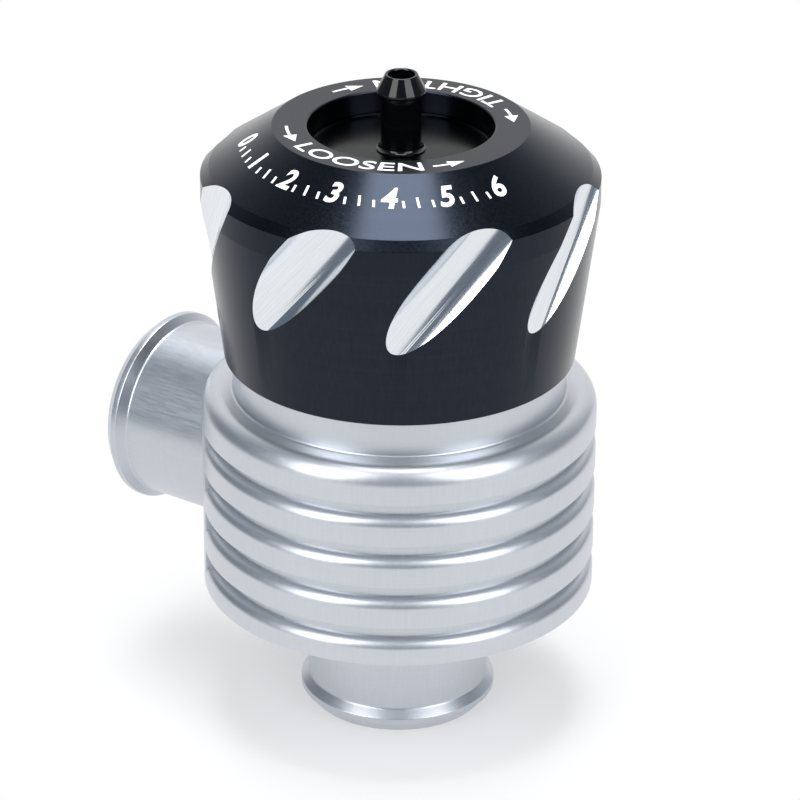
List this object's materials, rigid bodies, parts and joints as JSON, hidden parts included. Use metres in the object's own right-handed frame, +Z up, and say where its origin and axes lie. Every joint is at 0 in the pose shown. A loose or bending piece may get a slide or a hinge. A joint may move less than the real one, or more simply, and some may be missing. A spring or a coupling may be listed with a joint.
{
  "type": "blow off valve",
  "caption": "Adjustable piston blow off valve: ribbed aluminium body, inlet stub below, outlet stub at the side, fluted black cap with a vacuum nipple.",
  "frame": {"origin": "centre of the inlet stub's rim, on the valve's axis", "axes": "+Z up the valve's axis to the vacuum nipple, -X along the outlet stub"},
  "size_m": [0.07, 0.055, 0.0944],
  "materials": {
    "satin_aluminium": "satin, fine-blasted and clear anodised",
    "machined_aluminium": "turned, bare",
    "black_anodised": "black anodised, satin",
    "plain_steel": "plain steel",
    "seal_rubber": "matt black rubber",
    "white_plastic": "low-friction bearing plastic"
  },
  "bodies": {
    "housing": {"valve_body": "satin_aluminium", "outlet_stub": "satin_aluminium", "outlet_seal": "seal_rubber", "friction_ring": "seal_rubber"},
    "valve_piston": {"piston": "machined_aluminium", "piston_seal": "seal_rubber", "piston_guide_ring": "white_plastic", "face_seal": "seal_rubber", "seal_retainer": "machined_aluminium", "retainer_screw": "plain_steel"},
    "adjuster": {"spring_seat": "black_anodised", "spring_seat_seal": "seal_rubber", "thrust_washer": "white_plastic", "vacuum_nipple": "black_anodised", "spring": "plain_steel"},
    "cap": {"adjuster_cap": "black_anodised"}
  },
  "joints": [
    {"name": "adjuster_slide", "type": "slide", "parent": "housing", "child": "adjuster", "axis": [0, 0, 1], "range_m": [-0.0045, 0.003]},
    {"name": "cap_turn", "type": "hinge", "parent": "adjuster", "child": "cap", "pos_m": [0, 0, 0.07], "axis": [0, 0, 1], "range_deg": [-1080, 720]},
    {"name": "piston_slide", "type": "slide", "parent": "housing", "child": "valve_piston", "axis": [0, 0, 1], "range_m": [0, 0.008], "stiffness_N_per_m": 1250, "springref_m": -0.012, "deforming": ["spring"]}
  ],
  "couplings": [
    {"joint": "adjuster_slide", "follows": "cap_turn", "m_per_rad": 0.00023873}
  ]
}
